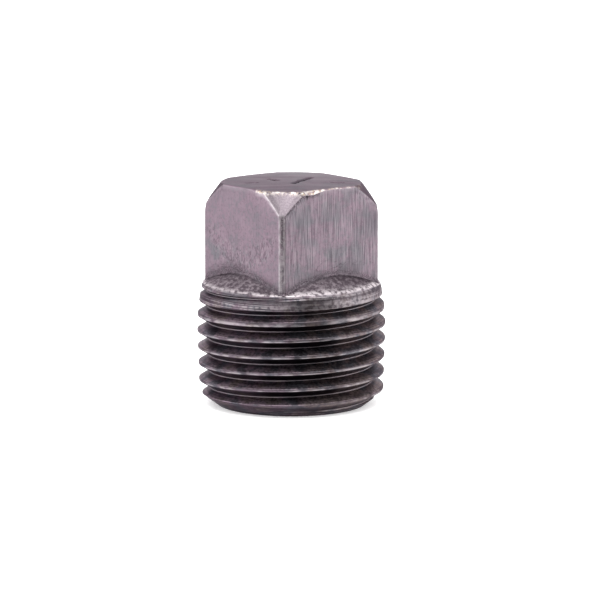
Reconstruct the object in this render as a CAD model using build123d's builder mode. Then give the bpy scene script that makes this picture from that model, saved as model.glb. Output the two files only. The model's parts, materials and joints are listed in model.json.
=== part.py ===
"""Square-head pipe plug, 1/2-14 taper pipe thread, forged in one piece from solid steel.

The plug closes a female pipe port. A wrench on the square head turns it in until the taper
thread jams and seals. Nothing on it moves or comes off, so the whole object is one solid.

Frame: millimetres, +Z up the axis, origin at the centre of the small end face, which the plug
stands on. The four wrench flats face +X, -X, +Y and -Y.
"""

import os
from math import atan, cos, degrees, radians, tan

from build123d import *

# Taper pipe thread, right hand.
THREADS_PER_INCH = 14
PITCH = 25.4 / THREADS_PER_INCH
TAPER = 1 / 32  # radius gained per length along the axis, which is 1 in 16 on the diameter
FLANK_ANGLE = 30  # each side of the groove, from the plane across the axis
ROOT_RADIUS = 8.91  # of the groove's floor, where its cone meets the small end face
CREST_RADIUS = 10.15  # of the thread's crests, at the same place
ROOT_FLAT = 0.1  # width of the groove's floor
CUTTER_DEPTH = 1.4  # the cutter stands proud of the crests

# Groove run: it passes +X below the end face, climbs, and fades out under the shoulder.
GROOVE_START_Z = -1.123
FULL_TURNS = 7 + 210 / 360
RUNOUT_TURNS = 141 / 360
RUNOUT_RISE = 0.68  # radius that the cutter lifts in the runout

# Shank: the forged blank that the thread is cut into.
END_RADIUS = 8.3  # flat end face, inside the chamfer
END_CHAMFER_SLOPE = 0.75  # height gained per radius gained
TAPERED_HEIGHTS = (5.2, 8.4)  # the crests follow the thread's taper up to here
DRAWN_IN = ((10.4, 9.7), (10.27, 11.1), (10.05, 12.5))  # then the blank draws in: radius, height
SHOULDER_RIM = (9.88, 13.45)  # radius and height
SHOULDER_ANGLE = 30.5  # the shoulder's slope, from the plane across the axis
SHANK_EDGE_BREAK = 0.15

# Square head.
ACROSS_FLATS = 14.0
ACROSS_CORNERS = 19.14  # the corners are left at the bar's own round
HEIGHT = 24.9
CROWN_RADIUS = 7.75  # of the round top face
CROWN_ANGLE = 53  # the turned crown's slope, from the plane across the axis
CROWN_DOME = 0.24  # how far the top face swells in its middle
CROWN_EDGE_BREAK = 0.4
FLAT_FILLET = 0.35  # where a flat runs out into the shoulder


# Square head: a square bar, its corners at the bar's round and its top turned to a crown.
corner_radius = ACROSS_CORNERS / 2
crown_rim = HEIGHT - CROWN_DOME
crown_foot = crown_rim - (corner_radius - CROWN_RADIUS) * tan(radians(CROWN_ANGLE))
head_base = SHOULDER_RIM[1] - FLAT_FILLET  # buried in the shank
with BuildPart() as head:
    with BuildSketch(Plane.XZ):
        with BuildLine():
            Polyline(
                (0, head_base),
                (corner_radius, head_base),
                (corner_radius, crown_foot),
                (CROWN_RADIUS, crown_rim),
            )
            TangentArc((0, HEIGHT), (CROWN_RADIUS, crown_rim), tangent=(1, 0))
            Line((0, HEIGHT), (0, head_base))
        make_face()
        fillet(vertices().group_by(Axis.Y)[-2], CROWN_EDGE_BREAK)
    revolve(axis=Axis.Z)
    with BuildSketch(Plane.XY.offset(head_base)):
        Rectangle(ACROSS_FLATS, ACROSS_FLATS)
    extrude(amount=HEIGHT - head_base, mode=Mode.INTERSECT)

# Thread cutter: a V swept along the whole groove, with the runout as its last stretch.
helix_start = (ROOT_RADIUS + TAPER * GROOVE_START_Z, GROOVE_START_Z)
full_height = FULL_TURNS * PITCH
runout_start = (helix_start[0] + TAPER * full_height, GROOVE_START_Z + full_height)
runout_height = RUNOUT_TURNS * PITCH
half_floor = ROOT_FLAT / 2
half_mouth = half_floor + CUTTER_DEPTH * tan(radians(FLANK_ANGLE))


def climbing_helix(start, height, rise):
    """A right-hand helix from (radius, z) over +X, gaining rise in radius over its height."""
    cone_angle = atan(rise / height)
    return Helix(
        PITCH / cos(cone_angle),
        height,
        start[0],
        center=(0, 0, start[1]),
        cone_angle=degrees(cone_angle),
        mode=Mode.PRIVATE,
    )


with BuildPart() as thread_cutter:
    with BuildLine():
        add(climbing_helix(helix_start, full_height, TAPER * full_height))
        runout = climbing_helix(runout_start, runout_height, RUNOUT_RISE)
        add(runout.rotate(Axis.Z, 360 * FULL_TURNS))
    with BuildSketch(Plane.XZ.shift_origin((helix_start[0], 0, helix_start[1]))):
        with BuildLine():
            Polyline(
                (0, -half_floor),
                (CUTTER_DEPTH, -half_mouth),
                (CUTTER_DEPTH, half_mouth),
                (0, half_floor),
                close=True,
            )
        make_face()
    sweep(is_frenet=True)

# The plug: the shank turned about the axis, the head on it, and the thread cut last.
chamfer_run = (CREST_RADIUS - END_RADIUS) / (1 - TAPER * END_CHAMFER_SLOPE)
chamfer_top = (END_RADIUS + chamfer_run, chamfer_run * END_CHAMFER_SLOPE)
tapered = [(CREST_RADIUS + TAPER * height, height) for height in TAPERED_HEIGHTS]
inner_radius = ACROSS_FLATS / 4  # the shoulder's cone is carried on inside the head to here
shoulder_rise = (SHOULDER_RIM[0] - inner_radius) * tan(radians(SHOULDER_ANGLE))
inner_height = SHOULDER_RIM[1] + shoulder_rise
with BuildPart() as square_head_plug:
    with BuildSketch(Plane.XZ):
        with BuildLine():
            Polyline((0, inner_height), (0, 0), (END_RADIUS, 0), chamfer_top)
            Spline(chamfer_top, *tapered, *DRAWN_IN, SHOULDER_RIM)
            Polyline(SHOULDER_RIM, (inner_radius, inner_height), (0, inner_height))
        make_face()
        rims = vertices().group_by(Axis.Y)
        fillet([*rims[0].filter_by_position(Axis.X, 1, END_RADIUS), *rims[-2]], SHANK_EDGE_BREAK)
    revolve(axis=Axis.Z)
    add(head.part)
    arches = edges().filter_by(GeomType.HYPERBOLA)
    fillet(arches.filter_by_position(Axis.Z, SHOULDER_RIM[1], crown_foot), FLAT_FILLET)
    add(thread_cutter.part, mode=Mode.SUBTRACT)

square_head_plug.part.label = "square_head_plug"
os.makedirs("parts", exist_ok=True)
export_step(square_head_plug.part, "parts/square_head_plug.step")
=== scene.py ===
import json
import math

import bpy
import numpy as np
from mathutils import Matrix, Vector, noise


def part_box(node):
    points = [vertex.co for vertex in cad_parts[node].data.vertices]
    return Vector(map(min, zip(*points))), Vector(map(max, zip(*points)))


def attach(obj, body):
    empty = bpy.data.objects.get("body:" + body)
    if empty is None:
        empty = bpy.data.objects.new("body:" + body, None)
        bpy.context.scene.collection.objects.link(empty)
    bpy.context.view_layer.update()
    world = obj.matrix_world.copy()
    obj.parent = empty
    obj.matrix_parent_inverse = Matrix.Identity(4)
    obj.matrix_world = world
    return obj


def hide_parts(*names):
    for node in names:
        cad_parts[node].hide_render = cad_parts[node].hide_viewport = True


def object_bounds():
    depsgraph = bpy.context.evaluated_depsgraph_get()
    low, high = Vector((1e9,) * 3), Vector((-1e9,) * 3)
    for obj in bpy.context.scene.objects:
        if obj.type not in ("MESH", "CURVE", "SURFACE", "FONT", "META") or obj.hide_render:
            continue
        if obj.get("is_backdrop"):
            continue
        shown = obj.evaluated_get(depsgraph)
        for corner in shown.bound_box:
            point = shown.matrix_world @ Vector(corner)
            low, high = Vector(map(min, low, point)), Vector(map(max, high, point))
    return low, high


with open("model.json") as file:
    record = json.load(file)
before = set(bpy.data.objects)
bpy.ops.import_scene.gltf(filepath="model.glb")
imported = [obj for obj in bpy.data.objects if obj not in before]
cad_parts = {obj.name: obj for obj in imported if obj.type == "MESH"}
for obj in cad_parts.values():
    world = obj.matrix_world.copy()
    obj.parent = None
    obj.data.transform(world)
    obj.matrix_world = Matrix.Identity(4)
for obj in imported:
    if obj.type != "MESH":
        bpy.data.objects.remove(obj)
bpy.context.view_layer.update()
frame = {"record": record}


# ---------------------------------------------------------------------------------------------
# The forging: one solid piece of carbon steel, hot forged to a square head on a round shank.
# The four flats are drawn smooth and run out into a shallow cone, and the corners between them
# keep the round of the bar. Sizes are in millimetres and angles in degrees until the mesh.
MM = 0.001
mounts = {mount["name"]: mount for mount in frame["record"]["mounts"]}
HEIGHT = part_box("square_head_plug")[1].z / MM
HALF_SQUARE = mounts["wrench_flat_px"]["pos_m"][0] / MM
CORNER_RADIUS = 9.57
SHOULDER_RADIUS = 9.88
SHOULDER_HEIGHT = 13.45
SHOULDER_ANGLE = 30.5
FOOT_FILLET = 0.35
LAND_EDGE = math.degrees(math.acos(HALF_SQUARE / CORNER_RADIUS))  # from a flat's middle
WALL_ROUND = 0.05  # where a flat meets the round of a corner

# Columns run round the plug, from the corner between the -X and +Y flats. They crowd at the
# edges of the corner lands.
FIRST_CORNER = 135.0
FLAT_COLUMNS = 78
EDGE_STEPS = (-0.3, -0.1, 0.1, 0.3, 0.6, 1.2)
edge_columns = [LAND_EDGE + step for step in EDGE_STEPS]
flat_end = LAND_EDGE - 0.7
flat_columns = np.linspace(-flat_end, flat_end, FLAT_COLUMNS)
quarter = np.concatenate([[-45.0], [-a for a in reversed(edge_columns)], flat_columns, edge_columns])
from_flat = np.tile(quarter, 4)
around = np.concatenate([FIRST_CORNER + 45.0 + 90.0 * turn + quarter for turn in range(4)])
COLUMNS = len(around)


def soft_min(a, b, width):
    """The smaller of a and b, rounded over where they are within width of each other."""
    share = np.clip(0.5 + 0.5 * (b - a) / width, 0.0, 1.0)
    return b + (a - b) * share - width * share * (1.0 - share)


def hump(values, middle, width):
    """1 where values are at middle, falling smoothly to 0 at about twice width away."""
    return np.exp(-(((values - middle) / width) ** 2))


def window(values, low, high, soft):
    """1 between low and high, falling smoothly to 0 over soft outside them."""
    past = np.clip(np.maximum(low - values, values - high) / soft, 0.0, 1.0)
    return 1.0 - past * past * (3.0 - 2.0 * past)


def uneven(positions, size, seed, octaves=2):
    """Smooth unevenness from about -1 to 1 at each (x, y, z), with features about size across."""
    shift = Vector((seed, -2.0 * seed, 3.0 * seed))
    shape = positions.shape[:-1]
    values = [
        sum(noise.noise(Vector(p) * (2 ** k / size) + shift) / 2 ** k for k in range(octaves))
        for p in positions.reshape(-1, 3)
    ]
    return np.array(values).reshape(shape)


angle = np.radians(around)
ring = np.stack([np.cos(angle), np.sin(angle), 0.0 * angle], axis=-1)
wall = soft_min(HALF_SQUARE / np.cos(np.radians(from_flat)), CORNER_RADIUS, WALL_ROUND)

# ---------------------------------------------------------------------------------------------
# The shank's taper pipe thread, cut into the forging with a die: 14 turns to the inch, right
# hand, 60 degrees. The groove fades out below the shoulder, where the blank draws in and the
# last crests are left flat and wide.
PITCH = 25.4 / 14
TAPER = 1 / 32
GROOVE_START = -1.123
FULL_TURNS = 7 + 210 / 360
RUNOUT_TURNS = 141 / 360
RUNOUT_RISE = 0.68
ROOT_RADIUS = 8.91
ROOT_ROUND = 0.06
CREST_ROUND = 0.03
FLANK = math.tan(math.radians(30.0))
END_RADIUS = 8.3
END_SLOPE = 0.75
END_ROUND = 0.2  # where the chamfer meets the first crest
BLANK_HEIGHTS = (1.42, 5.2, 8.4, 9.7, 11.1, 12.5, SHOULDER_HEIGHT)
BLANK_RADII = (10.19, 10.31, 10.41, 10.4, 10.27, 10.05, SHOULDER_RADIUS)
END_BREAK = 0.1  # taken off the end face's sharp edge
RIM_HEIGHT = 0.18  # the shoulder's rim is rounded over this height, and drawn in by RIM_BREAK
RIM_BREAK = 0.07


def blank_radius(height):
    """The turned blank, before the thread: end chamfer, taper, and the draw-in at the top."""
    chamfer = END_RADIUS - END_BREAK + height / END_SLOPE
    turned_body = np.interp(height, BLANK_HEIGHTS, BLANK_RADII)
    rim = np.clip((height - SHOULDER_HEIGHT + RIM_HEIGHT) / RIM_HEIGHT, 0.0, 1.0)
    return soft_min(chamfer, turned_body, END_ROUND) - RIM_BREAK * rim ** 2


def root_radius(turns):
    """Radius of the groove's floor after so many turns, lifting out of the blank at the end."""
    full = np.minimum(turns, FULL_TURNS)
    lift = np.clip((turns - FULL_TURNS) / RUNOUT_TURNS, 0.0, None) * RUNOUT_RISE
    return ROOT_RADIUS + TAPER * (GROOVE_START + PITCH * full) + lift


def thread_radius(degrees_round, height):
    """The cut surface's radius, and how far the point is above the nearest groove's floor line."""
    turn = degrees_round / 360.0
    count = np.round((height - GROOVE_START) / PITCH - turn)
    across = height - (GROOVE_START + PITCH * (count + turn))
    floor = root_radius(count + turn)
    groove = floor + (np.sqrt(across ** 2 + ROOT_ROUND ** 2) - ROOT_ROUND) / FLANK
    return soft_min(groove, blank_radius(height), CREST_ROUND), across


def mouth(degrees_round, count, side):
    """Half-width of the groove's mouth, on its upper (+1) or lower (-1) side."""
    turns = count + degrees_round / 360.0
    centre = GROOVE_START + PITCH * turns
    half = np.full_like(centre, 0.7)
    for _ in range(4):
        half = ROOT_ROUND + (blank_radius(centre + side * half) - root_radius(turns)) * FLANK
        half = np.clip(half, 0.2, 0.48 * PITCH)
    return half


# Rows run along the thread, so that the crests and the groove's floor are crisp lines. Each row
# says how much it is crest, and how much it is the dark line along the crest's top edge.
TURN_COUNTS = range(-3, 9)
rows = []
crest_rows = []
crest_tops = []
for count in TURN_COUNTS:
    centre = GROOVE_START + PITCH * (count + around / 360.0)
    lower, upper = mouth(around, count, -1), mouth(around, count, 1)
    next_lower = mouth(around, count + 1, -1)
    rows += [centre - lower + inward for inward in (0.02, 0.07)]
    rows += [centre - lower * share for share in (0.6, 0.3)]
    rows += [centre + off for off in (-0.09, -0.03, 0.03, 0.09)]
    rows += [centre + upper * share for share in (0.3, 0.6)]
    rows += [centre + upper + off for off in (-0.07, -0.02, 0.03)]
    rows += [centre + (upper + PITCH - next_lower) / 2, centre + PITCH - next_lower - 0.03]
    crest_rows += [0.0] * 12 + [1.0, 0.7, 0.1]
    crest_tops += [0.3] + [0.0] * 13 + [1.0]
ROWS_A_TURN = len(rows) // len(TURN_COUNTS)
shank_height = np.sort(np.array(rows).T, axis=1)  # rows can cross where the chamfer starts
shank_angle = np.repeat(around[:, None], shank_height.shape[1], axis=1)
shank_radius, shank_across = thread_radius(shank_angle, shank_height)
cut_depth = blank_radius(shank_height) - shank_radius

# ---------------------------------------------------------------------------------------------
# The head, forged with the shank, from the shoulder's rim to the middle of its top. Its crown
# is turned on a lathe: a steep cone takes the corners down to a round, slightly domed top face,
# and the tool throws up a burr along the edge.
CROWN_RADIUS = 7.75
CROWN_SLOPE = math.tan(math.radians(53.0))
DOME = 0.24
WORN_EDGE = 0.14
FLAT_ROWS = 27
CROWN_ROWS = 8
TOP_RINGS = 46
tilt = math.radians(SHOULDER_ANGLE)
slope = math.tan(tilt)

# Each flat meets the shoulder in an arch, with a small fillet along it.
fillet = np.minimum(FOOT_FILLET, (SHOULDER_RADIUS - 0.12 - wall) / (1.0 - math.sin(tilt)))
arch = SHOULDER_HEIGHT + (SHOULDER_RADIUS - wall) * slope
fillet_centre_r = wall + fillet
fillet_centre_z = arch + fillet * (1.0 - math.sin(tilt)) / math.cos(tilt)
fillet_start_r = fillet_centre_r - fillet * math.sin(tilt)

# The crown's lower edge wanders a little, and is rolled over beside the corner between the
# -Y and +X flats, where the tool left the metal.
turned = (around + 180.0) % 360.0 - 180.0
rolled = 0.30 * window(turned, -32.0, -22.0, 16.0) + 0.16 * window(turned, -70.0, -62.0, 6.0)
worn = WORN_EDGE + rolled + 0.05 * uneven(ring * CROWN_RADIUS, 1.6, 3.0)
rim_wander = 0.06 * uneven(ring * CROWN_RADIUS, 2.5, 5.0)
top_rim_r = np.minimum(CROWN_RADIUS + rim_wander, wall - 0.6 * worn)
top_rim_z = HEIGHT - DOME * (top_rim_r / CROWN_RADIUS) ** 2
crown_foot = top_rim_z - np.maximum((wall - CROWN_RADIUS) * CROWN_SLOPE, worn)
crown_slope = (top_rim_z - crown_foot) / (wall - top_rim_r)
rim_width = np.minimum(0.2, 0.7 * (wall - top_rim_r))

profile_r = []
profile_z = []
profile_kind = []


def profile_row(radius, height, kind):
    """Adds one row of the head, and says which surface it lies on."""
    profile_r.append(radius)
    profile_z.append(height)
    profile_kind.append(kind)


def crown_row(radius, kind):
    """Adds a row at this radius on the crown's cone or the domed top, whichever is lower."""
    dome = HEIGHT - DOME * (radius / CROWN_RADIUS) ** 2
    cone = crown_foot + (wall - radius) * crown_slope
    profile_row(radius, soft_min(dome, cone, rim_width), kind)


for step in np.linspace(0.1, 1.0, 6)[:-1]:
    radius = SHOULDER_RADIUS - 0.03 + (fillet_start_r - SHOULDER_RADIUS) * step
    profile_row(radius, SHOULDER_HEIGHT + (SHOULDER_RADIUS - radius) * slope, "shoulder")
for turn in np.linspace(tilt, math.pi / 2, 6):
    radius = fillet_centre_r - fillet * math.sin(turn)
    profile_row(radius, fillet_centre_z - fillet * math.cos(turn), "foot")
for step in np.linspace(0.0, 1.0, FLAT_ROWS)[1:]:
    profile_row(wall, fillet_centre_z + (crown_foot - 0.1 - fillet_centre_z) * step, "flat")
profile_row(wall, crown_foot - 0.03, "flat")
for step in np.linspace(0.04, 0.8, CROWN_ROWS):
    crown_row(wall + (top_rim_r - wall) * step, "crown")
for step in (0.6, 0.3, 0.0):
    crown_row(top_rim_r + rim_width * step, "crown")
for step in np.linspace(1.0, 0.03, TOP_RINGS):
    crown_row((top_rim_r - 0.08) * step, "top")
head_radius = np.array(profile_r).T
head_height = np.array(profile_z).T
kinds = np.array(profile_kind)


def head_mask(*names):
    """1 on the head's rows of these kinds, 0 on the rest."""
    return np.repeat(np.isin(kinds, names)[None, :] * 1.0, COLUMNS, axis=0)


def head_points():
    """Points (x, y, z) of the whole head."""
    return np.stack([
        head_radius * np.cos(angle)[:, None],
        head_radius * np.sin(angle)[:, None],
        head_height,
    ], axis=-1)


# Forging leaves the shoulder lumpy, the corners dinged and the flats not quite flat.
spots = head_points()
is_corner = window(wall, CROWN_RADIUS + 0.1, 99.0, 0.12)[:, None]
lumps = uneven(spots, 0.9, 11.0)
on_land = window(np.abs(from_flat), LAND_EDGE + 0.4, 45.0, 0.5)[:, None] * head_mask("flat")
LUMP = 0.05
DING = 0.035
WORN_CORNER = 0.13
FLAT_WAVE = 0.012
inside_rim = window(SHOULDER_RADIUS - head_radius, 0.3, 9.0, 0.3)
worn_corner = hump(head_height, crown_foot[:, None], 0.55) * is_corner * head_mask("flat", "crown")
head_height += LUMP * lumps * head_mask("shoulder") * inside_rim
head_radius += DING * np.minimum(lumps, 0.0) * on_land
head_radius -= WORN_CORNER * worn_corner
head_radius += FLAT_WAVE * uneven(spots, 3.0, 17.0, 1) * head_mask("flat") * (1.0 - on_land)

# The burr stands up along the crown's rim, tallest over that same corner.
burr_round = window(turned, -68.0, -12.0, 4.0) + 0.55 * window(turned, -8.0, 34.0, 4.0)
burr_round = np.clip(burr_round + 0.25 * window(turned, 100.0, 152.0, 6.0), 0.0, 1.0)
jagged = 0.55 + 0.9 * uneven(ring * CROWN_RADIUS, 0.55, 23.0)
burr = burr_round * np.clip(jagged, 0.1, 1.3)
at_rim = hump(head_radius, top_rim_r[:, None] + 0.04, 0.1) * head_mask("crown", "top")
BURR_HEIGHT = 0.1
BURR_WIDTH = 0.05
head_height += BURR_HEIGHT * burr[:, None] * at_rim
head_radius += BURR_WIDTH * burr[:, None] * at_rim * head_mask("crown")

# Nicks in the top face: where each starts and ends, its half-width and its depth.
NICKS = (
    ((2.15, -1.5), (0.0, 2.8), 0.26, 0.26),
    ((-0.7, -1.6), (-1.9, -1.5), 0.3, 0.24),
    ((4.0, 2.6), (4.6, 3.3), 0.26, 0.2),
    ((-1.5, -4.9), (-1.0, -4.2), 0.26, 0.2),
)
nick = np.zeros(head_height.shape)
ragged = 1.0 + 0.5 * uneven(head_points(), 0.7, 37.0)
spots = head_points()[..., :2]
for start, end, half_width, depth in NICKS:
    start = np.array(start)
    stroke = np.array(end) - start
    along = np.clip((spots - start) @ stroke / (stroke @ stroke), 0.0, 1.0)
    gap = np.linalg.norm(spots - start - along[..., None] * stroke, axis=-1) * ragged
    dent = window(gap, 0.0, half_width * 0.4, half_width) * head_mask("top")
    head_height -= depth * dent
    nick = np.maximum(nick, dent)

# The small end face, from the chamfer's edge in to its middle.
END_RINGS = 9
end_radius = np.repeat(np.linspace(END_RADIUS - 0.2, 0.2, END_RINGS)[None, :], COLUMNS, axis=0)
end_height = np.zeros_like(end_radius)

# ---------------------------------------------------------------------------------------------
# One skin over the whole plug, since shank and head are one piece of steel. Thread rows that
# would pass the end face or the shoulder's rim stop on that edge.
SNAP = 0.03  # a row this near the edge is the edge
CREST_SCUFF = 0.025


def ring_points(radius, height):
    """Points (x, y, z) of rows that are given by radius and height for each column."""
    turn = angle[:, None]
    return np.stack([radius * np.cos(turn), radius * np.sin(turn), height + 0 * turn], axis=-1)


columns = np.arange(COLUMNS)
below = shank_height < SNAP
above = shank_height > SHOULDER_HEIGHT - SNAP
inside = ~(below | above)
scuff = uneven(ring_points(shank_radius, shank_height)[inside] * (0.35, 0.35, 1.5), 0.5, 31.0)
on_crest = np.tile(crest_rows, (COLUMNS, 1))
shank_radius[inside] += CREST_SCUFF * np.minimum(scuff, 0.0) * on_crest[inside]
shank_ids = np.repeat(columns[:, None], shank_height.shape[1], axis=1)
shank_ids[above] += COLUMNS
shank_ids[inside] = np.arange(inside.sum()) + 2 * COLUMNS

end_edge_height = np.zeros((COLUMNS, 1))
rim_edge_height = end_edge_height + SHOULDER_HEIGHT
head_start = 2 * COLUMNS + inside.sum()
head_ids = head_start + np.arange(head_radius.size).reshape(head_radius.shape)
end_start = head_start + head_radius.size
end_ids = end_start + np.arange(end_radius.size).reshape(end_radius.shape)
points = np.concatenate([
    ring_points(blank_radius(end_edge_height), end_edge_height).reshape(-1, 3),
    ring_points(blank_radius(rim_edge_height), rim_edge_height).reshape(-1, 3),
    ring_points(shank_radius, shank_height)[inside],
    ring_points(head_radius, head_height).reshape(-1, 3),
    ring_points(end_radius, end_height).reshape(-1, 3),
])

faces = []


def join(left_low, right_low, right_high, left_high):
    """One face between two columns and two rows. Corners that share a point are dropped."""
    corners = []
    for corner in (left_low, right_low, right_high, left_high):
        if corner not in corners:
            corners.append(int(corner))
    if len(corners) > 2:
        faces.append(corners)


last_row = shank_ids.shape[1] - 1
for i in range(COLUMNS):
    wraps = i == COLUMNS - 1
    right = 0 if wraps else i + 1
    shift = ROWS_A_TURN if wraps else 0
    for j in range(last_row):
        low = min(j + shift, last_row)
        high = min(j + shift + 1, last_row)
        join(shank_ids[i, j], shank_ids[right, low], shank_ids[right, high], shank_ids[i, j + 1])
    join(COLUMNS + i, COLUMNS + right, head_ids[right, 0], head_ids[i, 0])
    for j in range(head_ids.shape[1] - 1):
        join(head_ids[i, j], head_ids[right, j], head_ids[right, j + 1], head_ids[i, j + 1])
    join(right, i, end_ids[i, 0], end_ids[right, 0])
    for j in range(END_RINGS - 1):
        join(end_ids[right, j], end_ids[i, j], end_ids[i, j + 1], end_ids[right, j + 1])
faces.append([int(k) for k in head_ids[:, -1]])
faces.append([int(k) for k in reversed(end_ids[:, -1])])

# ---------------------------------------------------------------------------------------------
# The finish: black oxide and oil over the whole plug, thick in the thread and thin on the head,
# and rubbed to bright steel on the crests and edges. The drawing die and handling mark each face
# in its own way, so masks on the skin say where each kind of wear lies. Other masks say where
# light and shade are painted into the colour: painted shade on the thread's downward flanks, along
# the flats' foot, on three of the crown's corners and in the nicks; painted light on the thread's
# upward flanks; a painted highlight along the groove's floor; and a painted dark reflection where
# the thread faces the camera.
DRAWN_BY_FACE = np.array([1.0, 0.7, 0.55, 0.2])  # how plain the draw lines are: +X, +Y, -X, -Y
RING_HEIGHT = 22.6  # a tool rubbed a ring into the -Y flat, of which the lower part shows
RING_RADIUS = 5.1
BLUE_HEIGHT = 21.3  # of a heat-blued band across the +X flat

face_turn = np.round(around / 90.0).astype(int) % 4
above_foot = head_height - fillet_centre_z[:, None]
below_rim = SHOULDER_RADIUS - head_radius
flat_rows = head_mask("flat", "foot")


def around_ring(low, high, soft):
    """1 on the columns between these angles, falling smoothly to 0 over soft outside them."""
    return window(turned, low, high, soft)[:, None]


# The flats: draw lines, the rub ring, the blue band, and a darker band with dark smears just above
# the foot of two of them.
from_ring = np.hypot(head_radius * np.sin(np.radians(from_flat))[:, None], head_height - RING_HEIGHT)
on_ring = window(from_ring, RING_RADIUS - 0.2, RING_RADIUS + 1.6, 0.7)
ring_rub = on_ring * window(head_height, 15.0, 19.3, 1.4) * flat_rows * (face_turn == 3)[:, None]
blue_band = hump(head_height, BLUE_HEIGHT, 0.35) * flat_rows * (face_turn == 0)[:, None]
dark_band_sides = around_ring(-16.0, 26.0, 8.0) + 0.6 * around_ring(-125.0, -98.0, 12.0)
# foot_shade is how far the painted shade spreads from each flat's foot; widest on the -Y flat near
# its -X end.
foot_shade = 0.42 + 0.23 * around_ring(-128.0, -92.0, 12.0)

# The edges are bright. At the corner between the -Y and +X flats, the crown's edge is clean on
# the -Y side and torn on the +X side.
to_land_edge = (np.abs(from_flat) - LAND_EDGE)[:, None]
clean_side = 0.45 + 0.55 * around_ring(-60.0, -45.0, 1.0)
land_edges = 0.55 * hump(to_land_edge, 0.1, 0.38) * head_mask("flat") * clean_side
land_middle = hump(np.abs(from_flat), 45.0, 0.9)[:, None] * head_mask("flat")
torn_side = around_ring(-43.5, -14.0, 1.0)
torn = hump(head_height, (crown_foot - 0.1)[:, None], 0.14) * torn_side * flat_rows
clean_edge = 0.22 + 0.78 * around_ring(-70.0, -45.5, 2.0) - 0.22 * torn_side
crown_edges = hump(head_height, (crown_foot - 0.02)[:, None], 0.1) * head_mask("flat", "crown")
bright_corner = around_ring(-80.0, -10.0, 8.0)
near_rim = hump(head_radius, (top_rim_r + 0.06)[:, None], 0.16) * head_mask("crown", "top")
near_rim = np.maximum(near_rim, (1.0 - is_corner) * head_mask("crown"))

# The shoulder's rim is rubbed all round, and widest on its +X side.
rubbed_side = around_ring(-35.0, 40.0, 20.0)
rim_fade = window(below_rim, 0.0, 0.12 + 0.4 * rubbed_side, 0.4) * head_mask("shoulder")

# The thread: a painted dark reflection blackens it between the -Y and +X sides, where it faces
# the camera, and from +X on it is browner.
in_groove = cut_depth > 0.01
on_blank = cut_depth < 0.05
# painted_dark_reflection: the band of thread facing the camera, where the flanks are painted dark as
# a reflection of the dark front.
painted_dark_reflection = window(around % 360.0, 308.0, 344.0, 14.0)[:, None] * window(shank_height, 1.5, 11.0, 1.0)
brown_side = around_ring(-20.0, 60.0, 25.0)
above_end = window(shank_height, 1.7, 99.0, 0.4)
under_crest = window(shank_across, 0.03, 9.0, 0.05) * (cut_depth > 0.02)


def whole(end_rim=0.0, shoulder_rim=0.0, shank=0.0, head=0.0, end=0.0):
    """One value for each point of the skin, in the order that the points were made."""
    ones = np.ones(COLUMNS)
    shank = np.broadcast_to(shank, shank_height.shape)[inside]
    head = np.broadcast_to(head, head_height.shape).ravel()
    end = np.broadcast_to(end, end_radius.shape).ravel()
    return np.concatenate([ones * end_rim, ones * shoulder_rim, shank, head, end])


masks = {
    "shank": whole(end_rim=1.0, shoulder_rim=0.7, shank=1.0, end=1.0),
    "crest": whole(shank=on_crest * hump(cut_depth, 0.0, 0.08) * above_end),
    "crest_top": whole(shank=np.tile(crest_tops, (COLUMNS, 1)) * above_end),
    "upper_flank": whole(shank=np.clip(-shank_across / 0.8, 0.0, 1.0) * in_groove),
    "root": whole(shank=hump(shank_across, 0.0, 0.05) * (cut_depth > 0.1)),
    "underside": whole(shank=under_crest),
    "painted_dark_reflection": whole(shank=painted_dark_reflection),
    "brown_side": whole(shank=brown_side),
    "rubbed_side": whole(shank=rubbed_side * on_blank),
    "last_crest": whole(shoulder_rim=0.3, shank=window(shank_height, 11.5, 99.0, 1.0) * on_blank),
    "end": whole(end_rim=1.0, shank=window(shank_height, -9.0, 1.0, 0.4) * on_blank, end=1.0),
    "shoulder": whole(shoulder_rim=1.0, head=head_mask("shoulder") + 0.15 * head_mask("foot")),
    "shoulder_rim": whole(shoulder_rim=1.0, head=rim_fade),
    "flat": whole(head=flat_rows),
    "drawn": whole(head=flat_rows * DRAWN_BY_FACE[face_turn][:, None]),
    # Painted shade along the foot of the flats, in the fillet where they meet the shoulder.
    "foot": whole(head=hump(above_foot, -0.12, foot_shade) * head_mask("flat", "foot")),
    "low": whole(head=window(head_height, 0.0, 17.2, 2.5)),
    "dark_band_above_foot": whole(head=window(above_foot, 0.1, 0.6, 1.4) * dark_band_sides * flat_rows),
    "blue_band": whole(head=blue_band),
    "ring_rub": whole(head=ring_rub),
    "land": whole(head=on_land),
    "land_middle": whole(head=land_middle),
    "edge": whole(head=np.maximum(land_edges, crown_edges * clean_edge)),
    "torn": whole(head=torn),
    "crown": whole(head=head_mask("crown") * is_corner * bright_corner),
    "crown_painted_shade": whole(head=head_mask("crown") * is_corner * (1.0 - bright_corner)),
    "burr": whole(head=near_rim * np.clip(burr, 0.0, 1.0)[:, None]),
    "top": whole(head=head_mask("top")),
    "nick": whole(head=nick),
}

body = bpy.data.meshes.new("square_head_plug_skin")
body.from_pydata([tuple(p * MM) for p in points], [], faces)
body.shade_smooth()
for name, values in masks.items():
    body.attributes.new(name, "FLOAT", "POINT").data.foreach_set("value", values.astype(np.float32))
plug = bpy.data.objects.new("forged_plug", body)
bpy.context.scene.collection.objects.link(plug)

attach(plug, "root")
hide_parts("square_head_plug")

steel = bpy.data.materials.new("oxide_steel")
steel.use_nodes = True
tree = steel.node_tree
shader = tree.nodes["Principled BSDF"]
shader.inputs["Metallic"].default_value = 1.0
shader.inputs["Specular Tint"].default_value = (0.48, 0.46, 0.48, 1)


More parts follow.
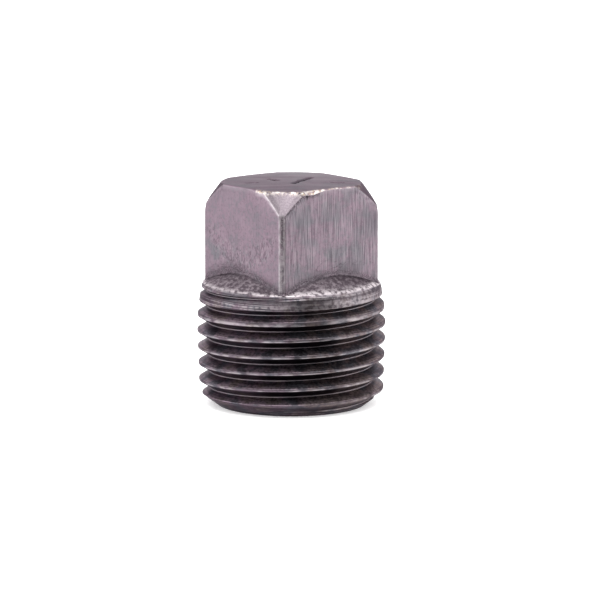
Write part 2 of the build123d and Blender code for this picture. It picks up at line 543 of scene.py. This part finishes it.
def node(kind, inputs=None, **settings):
    """A shader node in the steel. An input is given a value or another node's output."""
    made = tree.nodes.new(kind)
    for name, value in settings.items():
        setattr(made, name, value)
    for name, value in (inputs or {}).items():
        if isinstance(value, bpy.types.NodeSocket):
            tree.links.new(value, made.inputs[name])
        else:
            made.inputs[name].default_value = value
    return made


def maths(operation, a, b=0.0):
    """The result of one Math node."""
    return node("ShaderNodeMath", {0: a, 1: b}, operation=operation).outputs[0]


def times(*values):
    """All the values multiplied together."""
    product = values[0]
    for value in values[1:]:
        product = maths("MULTIPLY", product, value)
    return product


def plus(*values):
    """All the values added together."""
    total = values[0]
    for value in values[1:]:
        total = maths("ADD", total, value)
    return total


def coat(colour, over, *shares):
    """colour, covered by the colour over where the shares, multiplied together, are 1."""
    inputs = {0: times(*shares), 6: colour, 7: (*over, 1.0)}
    return node("ShaderNodeMix", inputs, data_type="RGBA").outputs[2]


def between(value, low, high, to_low=0.0, to_high=1.0):
    """value, spread smoothly from low..high to to_low..to_high."""
    inputs = {0: value, 1: low, 2: high, 3: to_low, 4: to_high}
    return node("ShaderNodeMapRange", inputs, interpolation_type="SMOOTHSTEP").outputs[0]


def mask(name):
    """One of the skin's masks."""
    return node("ShaderNodeAttribute", attribute_name=name).outputs["Fac"]


place = node("ShaderNodeTexCoord").outputs["Object"]
SHEAR_TURN = math.radians(-51.0)
sheared = node("ShaderNodeVectorRotate", {"Vector": place, "Angle": SHEAR_TURN}).outputs[0]


def grain(scale, detail=3.0, stretch=(1.0, 1.0, 1.0), shift=0.0, distortion=0.0, along=place):
    """Noise whose features are about 1/scale millimetres across, longer where stretch is small."""
    per_metre = tuple(k / MM for k in stretch)
    placed = node("ShaderNodeMapping", {0: along, 1: (shift, shift, shift), 3: per_metre})
    inputs = {"Vector": placed.outputs[0], "Scale": scale, "Detail": detail, "Distortion": distortion}
    return node("ShaderNodeTexNoise", inputs).outputs[0]


def line_at(value, level, width):
    """1 on the thin lines where a noise value passes through level."""
    off = maths("ABSOLUTE", maths("SUBTRACT", value, level))
    return between(off, 0.0, width, 1.0, 0.0)


clouds = grain(0.3, 4.0)
mottle = grain(3.5, 2.0, shift=53.0)
tint = grain(0.5, 3.0, shift=31.0)
fine = grain(2.2, 4.0)
grit = grain(7.0, 2.0, shift=7.0)
draw_lines = grain(1.0, 2.0, stretch=(13.0, 13.0, 0.32))
wide_lines = grain(1.0, 2.0, stretch=(4.5, 4.5, 0.25), shift=41.0)
draw_patches = grain(1.0, 4.0, stretch=(0.4, 0.4, 0.35), shift=3.0)
smears = grain(1.0, 2.0, stretch=(0.5, 0.5, 1.6), shift=23.0, distortion=0.4)
marks = grain(1.0, 3.0, stretch=(3.4, 3.4, 1.3), shift=19.0, distortion=1.5)
turn_lines = grain(1.0, 3.0, stretch=(0.12, 0.12, 9.0))
scuffs = grain(1.0, 3.0, stretch=(0.7, 0.7, 2.0), shift=13.0)
shears = grain(1.0, 3.0, stretch=(0.1, 0.75, 1.0), shift=5.0, distortion=0.5, along=sheared)

# The flats: mottled oxide with bluish patches, darker in the draw lines, with painted shade along the
# foot.
OXIDE = (0.170, 0.124, 0.153)
PALE_OXIDE = (0.195, 0.148, 0.178)
BLUED = (0.125, 0.119, 0.134)
SCALE = (0.105, 0.083, 0.098)
# RUBBED_AND_PAINTED_HIGHLIGHT is pale steel: rubbed wear on edges, crests and faces, and a painted
# highlight along the groove's floor.
RUBBED_AND_PAINTED_HIGHLIGHT = (0.28, 0.25, 0.265)
DARK_LINE = (0.045, 0.036, 0.043)
low_blue = plus(0.2, times(mask("low"), 0.7))
head = coat((*OXIDE, 1.0), BLUED, between(clouds, 0.48, 0.62), low_blue)
head = coat(head, BLUED, between(fine, 0.5, 0.64, 0.0, 0.5), mask("flat"))
head = coat(head, PALE_OXIDE, between(fine, 0.48, 0.36, 0.0, 0.5), mask("flat"))
head = coat(head, SCALE, between(mottle, 0.54, 0.66, 0.0, 0.45), mask("flat"))
head = coat(head, BLUED, between(draw_patches, 0.44, 0.6, 0.0, 0.6), plus(mask("drawn"), 0.1))
head = coat(head, BLUED, mask("blue_band"), between(draw_patches, 0.35, 0.55, 0.2, 0.9))
head = coat(head, DARK_LINE, between(draw_lines, 0.54, 0.36, 0.0, 0.45), mask("drawn"))
head = coat(head, DARK_LINE, between(wide_lines, 0.5, 0.36, 0.0, 0.16), mask("drawn"))
head = coat(head, RUBBED_AND_PAINTED_HIGHLIGHT, between(draw_lines, 0.48, 0.66, 0.0, 0.42), mask("drawn"))
marked = plus(mask("ring_rub"), times(mask("low"), mask("flat"), 0.3))
head = coat(head, DARK_LINE, between(marks, 0.53, 0.62, 0.0, 0.34), marked)
head = coat(head, RUBBED_AND_PAINTED_HIGHLIGHT, between(marks, 0.46, 0.38, 0.0, 0.2), marked)
# A darker band, with dark smears, just above the foot of two flats.
head = coat(head, DARK_LINE, mask("dark_band_above_foot"), between(draw_patches, 0.42, 0.6, 0.0, 0.36))
head = coat(head, DARK_LINE, mask("dark_band_above_foot"), line_at(smears, 0.5, 0.03), 0.7)
# Painted shade in the fillet along each flat's foot, jagged with grit.
head = coat(head, DARK_LINE, mask("foot"), between(grit, 0.58, 0.4, 0.45, 1.3))
head = coat(head, DARK_LINE, mask("torn"), between(grit, 0.4, 0.52, 0.0, 0.9))

# The corner lands: rubbed, with a dark broken line down the middle of their upper half.
upper_half = maths("SUBTRACT", 1.0, times(mask("low"), 0.65))
head = coat(head, RUBBED_AND_PAINTED_HIGHLIGHT, mask("land"), between(fine, 0.34, 0.6, 0.1, 0.8))
head = coat(head, DARK_LINE, mask("land_middle"), upper_half, between(grit, 0.36, 0.5, 0.35, 1.0))

# The top: sheared across, so its oxide lies in long faint streaks.
TOP_OXIDE = (0.166, 0.128, 0.154)
head = coat(head, TOP_OXIDE, mask("top"))
head = coat(head, RUBBED_AND_PAINTED_HIGHLIGHT, between(shears, 0.5, 0.64, 0.0, 0.25), mask("top"))
head = coat(head, DARK_LINE, between(shears, 0.5, 0.36, 0.0, 0.25), mask("top"))
head = coat(head, BLUED, between(draw_patches, 0.48, 0.66, 0.0, 0.6), mask("top"))
head = coat(head, DARK_LINE, between(marks, 0.56, 0.66, 0.0, 0.4), mask("top"))
broken = between(fine, 0.45, 0.6, 0.0, 0.5)
head = coat(head, DARK_LINE, line_at(shears, 0.47, 0.008), mask("top"), broken)

# The shoulder: forging scale, speckled light and dark, and rubbed along its rim.
PALE_SCALE = (0.29, 0.247, 0.272)
RIM_STEEL = (0.66, 0.605, 0.625)
head = coat(head, SCALE, mask("shoulder"))
head = coat(head, PALE_SCALE, mask("shoulder"), between(fine, 0.38, 0.64, 0.0, 0.8))
head = coat(head, DARK_LINE, mask("shoulder"), between(grit, 0.48, 0.34, 0.0, 0.6))
head = coat(head, RIM_STEEL, mask("shoulder_rim"), between(fine, 0.36, 0.56, 0.1, 0.9))

# The crown's corner facets, with painted shade on the three corners turned from the camera, the
# bright edges and the burr, which oil has stained in places.
FACET = (0.155, 0.13, 0.148)
PALE_FACET = (0.20, 0.17, 0.188)
BARE = (0.50, 0.46, 0.48)
BURR = (0.72, 0.67, 0.65)
STAIN = (0.40, 0.32, 0.22)
# DIRT_AND_PAINTED_SHADE is near black: dirt in the thread's dark patches, and painted shade on the
# thread's downward flanks and in the nicks.
DIRT_AND_PAINTED_SHADE = (0.006, 0.005, 0.006)
# Painted shade darkens the crown's facets on the three corners turned away from the camera.
head = coat(head, DARK_LINE, mask("crown_painted_shade"), 0.6)
head = coat(head, FACET, mask("crown"))
head = coat(head, PALE_FACET, mask("crown"), between(grit, 0.42, 0.6))
head = coat(head, BARE, mask("edge"), between(scuffs, 0.35, 0.6, 0.3, 0.85))
head = coat(head, STAIN, mask("burr"), between(grit, 0.45, 0.55))
head = coat(head, BURR, mask("burr"), between(fine, 0.42, 0.56))
# Painted shade fills the nicks, near black.
head = coat(head, DIRT_AND_PAINTED_SHADE, mask("nick"))

# The thread: thick oxide, streaked along the cut, and rubbed on the crests. Painted shade makes
# its downward flanks black, most where a painted dark reflection lies on the side facing the camera;
# painted light makes its upward flanks paler; and a painted highlight runs along the groove's floor.
THREAD_OXIDE = (0.11, 0.078, 0.102)
THREAD_BLUE = (0.07, 0.077, 0.092)
THREAD_BROWN = (0.155, 0.126, 0.118)
UPPER_FLANK_PAINTED_LIGHT = (0.285, 0.218, 0.258)
colour = coat(head, THREAD_OXIDE, mask("shank"))
# Painted light: the thread's upward-facing flanks are given a paler colour, as if lit from above.
colour = coat(colour, UPPER_FLANK_PAINTED_LIGHT, mask("upper_flank"), 0.9)
colour = coat(colour, THREAD_BROWN, mask("brown_side"), between(fine, 0.3, 0.5, 0.3, 0.8))
colour = coat(colour, THREAD_BLUE, mask("shank"), between(tint, 0.5, 0.58, 0.0, 0.8))
colour = coat(colour, THREAD_BROWN, mask("shank"), between(tint, 0.44, 0.38, 0.0, 0.75))
colour = coat(colour, DIRT_AND_PAINTED_SHADE, mask("shank"), between(draw_patches, 0.46, 0.36, 0.0, 0.5))
colour = coat(colour, DARK_LINE, mask("shank"), between(turn_lines, 0.54, 0.4, 0.0, 0.6))
colour = coat(colour, DARK_LINE, mask("shank"), between(mottle, 0.5, 0.36, 0.0, 0.6))
colour = coat(colour, RUBBED_AND_PAINTED_HIGHLIGHT, mask("upper_flank"), between(mottle, 0.54, 0.68, 0.0, 0.5))

# The flat last crests and the end: turned, with bright and dark rings.
banded = plus(mask("last_crest"), mask("end"))
speckle = between(fine, 0.36, 0.56, 0.1, 0.7)
end_speckle = between(fine, 0.4, 0.6, 0.0, 0.5)
side_speckle = between(fine, 0.4, 0.6, 0.1, 0.6)
colour = coat(colour, DARK_LINE, banded, between(turn_lines, 0.56, 0.42, 0.0, 0.6))
colour = coat(colour, RUBBED_AND_PAINTED_HIGHLIGHT, mask("last_crest"), between(turn_lines, 0.48, 0.58), speckle)
colour = coat(colour, RUBBED_AND_PAINTED_HIGHLIGHT, mask("last_crest"), mask("rubbed_side"), side_speckle)
colour = coat(colour, RUBBED_AND_PAINTED_HIGHLIGHT, mask("end"), between(turn_lines, 0.5, 0.6), end_speckle)

# The crests and the groove's floor.
# Painted shade: the downward flanks are darkened a little all round, and almost to black in the
# painted dark reflection facing the camera.
underside_shade_share = plus(0.1, times(mask("painted_dark_reflection"), 0.8))
narrow = maths("SUBTRACT", 1.0, mask("last_crest"))
colour = coat(colour, DIRT_AND_PAINTED_SHADE, mask("underside"), underside_shade_share)
# Painted highlight: a pale line along the groove's floor, where the rounded floor catches the light.
colour = coat(colour, RUBBED_AND_PAINTED_HIGHLIGHT, mask("root"), 0.7)
colour = coat(colour, DARK_LINE, mask("crest_top"), 0.8)
colour = coat(colour, BARE, mask("crest"), narrow, between(scuffs, 0.4, 0.62, 0.05, 0.5))
tree.links.new(colour, shader.inputs["Base Color"])

roughness = plus(between(clouds, 0.3, 0.7, 0.36, 0.46), times(mask("shoulder"), 0.08))
tree.links.new(roughness, shader.inputs["Roughness"])

# Draw lines, forging pits and turned lines are also felt, as a very fine relief.
pitted = plus(mask("shoulder"), times(mask("crown"), 0.6))
relief = plus(
    times(draw_lines, mask("drawn"), 0.6),
    times(fine, pitted),
    times(turn_lines, mask("shank"), 0.6),
    times(grit, 0.15),
)
bump = node("ShaderNodeBump", {"Height": relief, "Strength": 0.5, "Distance": 0.04 * MM})
tree.links.new(bump.outputs[0], shader.inputs["Normal"])
body.materials.append(steel)

# ---------------------------------------------------------------------------------------------
# The studio: the plug stands on a sheet of white paper in a pale room, under one large soft
# light in front and one at each side. A black card lies before it, which the thread reflects
# as the dark middle of its flanks.
FLOOR_SIZE = 1.2  # the sizes and places from here on are in metres
FLOOR_HEIGHT = -0.00002  # just under the end face
FLOOR_GLOW = 0.3
floor_corners = [(-1, -1), (1, -1), (1, 1), (-1, 1)]
floor_points = [(x * FLOOR_SIZE, y * FLOOR_SIZE, FLOOR_HEIGHT) for x, y in floor_corners]
floor_mesh = bpy.data.meshes.new("floor")
floor_mesh.from_pydata(floor_points, [], [(0, 1, 2, 3)])
floor = bpy.data.objects.new("floor", floor_mesh)
bpy.context.scene.collection.objects.link(floor)
floor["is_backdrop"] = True
paper = bpy.data.materials.new("white_paper")
paper.use_nodes = True
paper_shader = paper.node_tree.nodes["Principled BSDF"]
paper_shader.inputs["Base Color"].default_value = (0.9, 0.9, 0.9, 1)
paper_shader.inputs["Roughness"].default_value = 0.9
paper_shader.inputs["Emission Color"].default_value = (1, 1, 1, 1)
paper_shader.inputs["Emission Strength"].default_value = FLOOR_GLOW
floor_mesh.materials.append(paper)

# The room lights the plug brightly, but is seen behind it as plain white.
ROOM_LIGHT = 1.8
world = bpy.data.worlds.new("studio")
bpy.context.scene.world = world
world.use_nodes = True
room = world.node_tree
lighting = room.nodes["Background"]
lighting.inputs["Color"].default_value = (ROOM_LIGHT, ROOM_LIGHT, ROOM_LIGHT, 1)
seen = room.nodes.new("ShaderNodeBackground")
seen.inputs["Color"].default_value = (1.0, 1.0, 1.0, 1)
path = room.nodes.new("ShaderNodeLightPath")
mix = room.nodes.new("ShaderNodeMixShader")
room.links.new(path.outputs["Is Camera Ray"], mix.inputs["Fac"])
room.links.new(lighting.outputs[0], mix.inputs[1])
room.links.new(seen.outputs[0], mix.inputs[2])
room.links.new(mix.outputs[0], room.nodes["World Output"].inputs["Surface"])

VIEW_AZIMUTH = 51.0
VIEW_ELEVATION = 9.7
VIEW_DISTANCE = 0.5
TARGET_ASIDE = 0.0004
TARGET_HEIGHT = 0.01203
SENSOR_WIDTH = 36.0
FOCAL_LENGTH = 276.4


def direction(azimuth, elevation):
    """Unit vector from the plug towards a place, from angles in degrees. Azimuth 0 is -Y."""
    a = math.radians(azimuth)
    e = math.radians(elevation)
    return Vector((math.sin(a) * math.cos(e), -math.cos(a) * math.cos(e), math.sin(e)))


back = direction(VIEW_AZIMUTH, VIEW_ELEVATION)
aside = direction(VIEW_AZIMUTH + 90.0, 0.0)
target = aside * TARGET_ASIDE + Vector((0, 0, TARGET_HEIGHT))
lens = bpy.data.cameras.new("camera")
lens.sensor_width = SENSOR_WIDTH
lens.lens = FOCAL_LENGTH
camera = bpy.data.objects.new("camera", lens)
camera.location = target + back * VIEW_DISTANCE
camera.rotation_mode = "QUATERNION"
camera.rotation_quaternion = (-back).to_track_quat("-Z", "Y")
bpy.context.scene.collection.objects.link(camera)
bpy.context.scene.camera = camera
bpy.context.scene.view_settings.view_transform = "Standard"

LIGHT_DISTANCE = 0.5
LIGHT_AIM = Vector((0, 0, 0.012))


def softbox(name, turn, rise, width, height, power):
    """An area light that faces the plug, turned from the camera's side and raised, in degrees."""
    away = direction(VIEW_AZIMUTH + turn, rise)
    light = bpy.data.lights.new(name, "AREA")
    light.shape = "RECTANGLE"
    light.size = width
    light.size_y = height
    light.energy = power
    box = bpy.data.objects.new(name, light)
    box.location = LIGHT_AIM + away * LIGHT_DISTANCE
    box.rotation_mode = "QUATERNION"
    box.rotation_quaternion = (-away).to_track_quat("-Z", "Y")
    box.visible_camera = False
    bpy.context.scene.collection.objects.link(box)


softbox("top_front_softbox", 10.0, 62.0, 0.4, 0.35, 1.1)
softbox("left_softbox", -90.0, 15.0, 0.5, 0.4, 0.6)
softbox("right_softbox", 85.0, 15.0, 0.5, 0.4, 0.6)

CARD_TURNS = np.linspace(-8.0, 50.0, 9)
CARD_PROFILE = ((0.022, 0.0005), (0.06, 0.001), (0.2, 0.004), (0.32, 0.03), (0.4, 0.1), (0.42, 0.2))
CARD_ROWS = len(CARD_PROFILE)
card_points = []
for turn in CARD_TURNS:
    outward = direction(VIEW_AZIMUTH + turn, 0.0)
    card_points += [outward * away + Vector((0, 0, z)) for away, z in CARD_PROFILE]
card_faces = [
    (k, k + CARD_ROWS, k + CARD_ROWS + 1, k + 1)
    for k in range(len(card_points) - CARD_ROWS)
    if (k + 1) % CARD_ROWS
]
card_mesh = bpy.data.meshes.new("black_card")
card_mesh.from_pydata(card_points, [], card_faces)
card = bpy.data.objects.new("black_card", card_mesh)
bpy.context.scene.collection.objects.link(card)
card.visible_camera = False
card.visible_diffuse = False
card.visible_shadow = False
card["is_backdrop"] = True
felt = bpy.data.materials.new("black_felt")
felt.use_nodes = True
felt_shader = felt.node_tree.nodes["Principled BSDF"]
felt_shader.inputs["Base Color"].default_value = (0.01, 0.01, 0.01, 1)
felt_shader.inputs["Roughness"].default_value = 1.0
card_mesh.materials.append(felt)

low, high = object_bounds()
